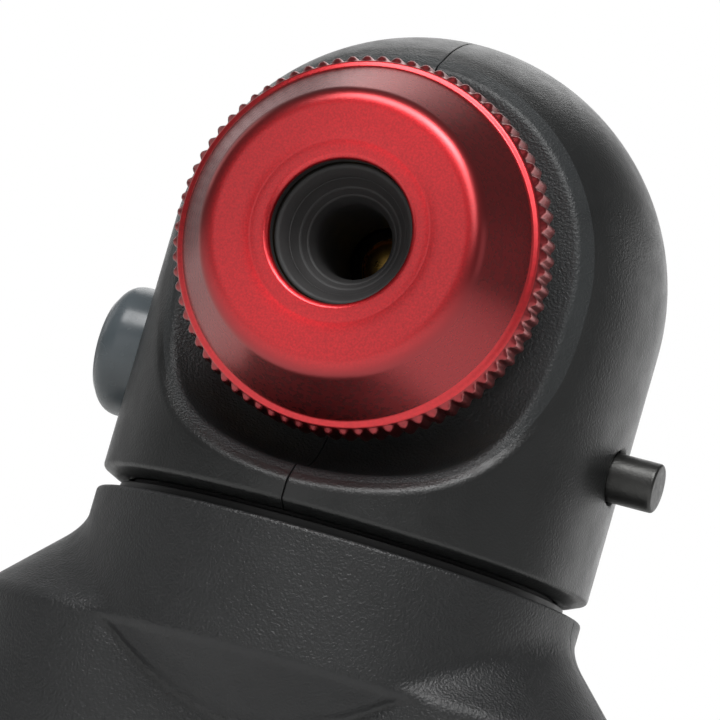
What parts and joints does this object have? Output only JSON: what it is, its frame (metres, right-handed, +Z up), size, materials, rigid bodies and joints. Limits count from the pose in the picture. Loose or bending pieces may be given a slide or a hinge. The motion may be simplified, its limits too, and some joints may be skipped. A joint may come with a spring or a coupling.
{
  "type": "portable tire inflator",
  "caption": "Cordless hand-held tire inflator: flattened upright body, round neck, swivelling domed head with a knurled twist-lock valve chuck and a side release button.",
  "frame": {"origin": "middle of the foot pad's underside, on the neck's axis", "axes": "+Z up the neck's axis, -Y out of the chuck's mouth, +X to the side where the release spool's plain end stands out"},
  "size_m": [0.055, 0.0452, 0.1925],
  "materials": {
    "case_plastic": "moulded black nylon, fine grain",
    "head_plastic": "moulded black nylon, finer satin",
    "inner_plastic": "black moulded plastic",
    "ring_plastic": "dark grey acetal",
    "key_plastic": "dark slate plastic",
    "tray_plastic": "pale moulded plastic",
    "gear_plastic": "natural acetal",
    "rubber": "black rubber",
    "collar_anodised": "red anodised, fine blasted",
    "alloy": "machined and cast alloy",
    "steel": "plated steel",
    "spool_steel": "dark oxide finish",
    "brass": "turned brass",
    "cell_wrap": "blue heat-shrink sleeve",
    "board": "green solder mask",
    "display": "dark display module",
    "window": "smoked clear window"
  },
  "bodies": {
    "body": {"body_front_shell": "case_plastic", "body_back_shell": "case_plastic", "base_cap": "case_plastic", "foot_pad": "rubber", "case_screws": "steel", "base_screws": "steel", "swivel_ring": "ring_plastic", "swivel_stem": "brass", "stem_o_rings": "rubber", "pump_head": "alloy", "head_gasket": "rubber", "outlet_reed": "steel", "pump_cylinder": "alloy", "tie_bolts": "steel", "pump_frame": "alloy", "gear_axle": "steel", "motor_can": "steel", "motor_end_cap": "inner_plastic", "motor_screws": "steel", "battery_cells": "cell_wrap", "battery_tray": "tray_plastic", "cell_tabs": "steel", "circuit_board": "board", "board_screws": "steel", "charge_port": "steel", "display_panel": "display", "display_window": "window", "key_switches": "steel"},
    "crank": {"crank_gear": "gear_plastic", "crank_pin": "steel"},
    "rod": {"connecting_rod": "alloy", "wrist_pin": "steel"},
    "piston": {"piston": "alloy", "piston_ring": "rubber"},
    "pinion": {"motor_shaft": "steel", "motor_pinion": "brass"},
    "power_button": {"power_button": "key_plastic"},
    "minus_button": {"minus_button": "key_plastic"},
    "plus_button": {"plus_button": "key_plastic"},
    "head": {"head_shell_left": "head_plastic", "head_shell_right": "head_plastic", "head_screws": "steel", "valve_block": "alloy", "chuck_barrel": "brass", "barrel_seal": "rubber", "valve_grommet": "rubber", "depressor_spring": "steel", "spool_spring": "steel"},
    "release": {"release_spool": "spool_steel", "release_button": "key_plastic", "spool_o_rings": "rubber", "spool_circlip": "steel"},
    "depressor": {"core_depressor": "brass"},
    "washer": {"thrust_washer": "brass"},
    "collar": {"chuck_collar": "collar_anodised"}
  },
  "joints": [
    {"name": "crank_turn", "type": "hinge", "parent": "body", "child": "crank", "pos_m": [0.011, 0, 0.1054], "axis": [1, 0, 0], "range_deg": [0, 180]},
    {"name": "pinion_spin", "type": "hinge", "parent": "body", "child": "pinion", "pos_m": [0.011, 0, 0.0919], "axis": [1, 0, 0], "range_deg": [-792, 0]},
    {"name": "rod_swing", "type": "hinge", "parent": "crank", "child": "rod", "pos_m": [0.011, 0, 0.1084], "axis": [1, 0, 0], "range_deg": [-180, 0]},
    {"name": "piston_stroke", "type": "slide", "parent": "body", "child": "piston", "axis": [0, 0, -1], "range_m": [0, 0.006]},
    {"name": "power_button_press", "type": "slide", "parent": "body", "child": "power_button", "axis": [0, 1, 0], "range_m": [0, 0.0005], "stiffness_N_per_m": 1200, "springref_m": -0.0008},
    {"name": "minus_button_press", "type": "slide", "parent": "body", "child": "minus_button", "axis": [0, 1, 0], "range_m": [0, 0.0005], "stiffness_N_per_m": 1200, "springref_m": -0.0008},
    {"name": "plus_button_press", "type": "slide", "parent": "body", "child": "plus_button", "axis": [0, 1, 0], "range_m": [0, 0.0005], "stiffness_N_per_m": 1200, "springref_m": -0.0008},
    {"name": "head_swivel", "type": "hinge", "parent": "body", "child": "head", "pos_m": [0, 0, 0.152], "axis": [0, 0, 1], "continuous": true},
    {"name": "release_press", "type": "slide", "parent": "head", "child": "release", "axis": [1, 0, 0], "range_m": [0, 0.003], "stiffness_N_per_m": 900, "springref_m": -0.002, "deforming": ["spool_spring"]},
    {"name": "core_press", "type": "slide", "parent": "head", "child": "depressor", "axis": [0, 1, 0], "range_m": [0, 0.0015], "stiffness_N_per_m": 300, "springref_m": -0.002, "deforming": ["depressor_spring"]},
    {"name": "collar_advance", "type": "slide", "parent": "head", "child": "washer", "axis": [0, 1, 0], "range_m": [0, 0.0015], "deforming": ["valve_grommet"]},
    {"name": "collar_twist", "type": "hinge", "parent": "washer", "child": "collar", "pos_m": [0, -0.0252, 0.1725], "axis": [0, 1, 0], "range_deg": [0, 180]}
  ],
  "couplings": [
    {"joint": "crank_turn", "follows": "piston_stroke", "rad_per_m": 523.6},
    {"joint": "pinion_spin", "follows": "piston_stroke", "rad_per_m": -2303.8},
    {"joint": "rod_swing", "follows": "piston_stroke", "rad_per_m": -523.6},
    {"joint": "collar_advance", "follows": "collar_twist", "m_per_rad": 0.00047746}
  ]
}
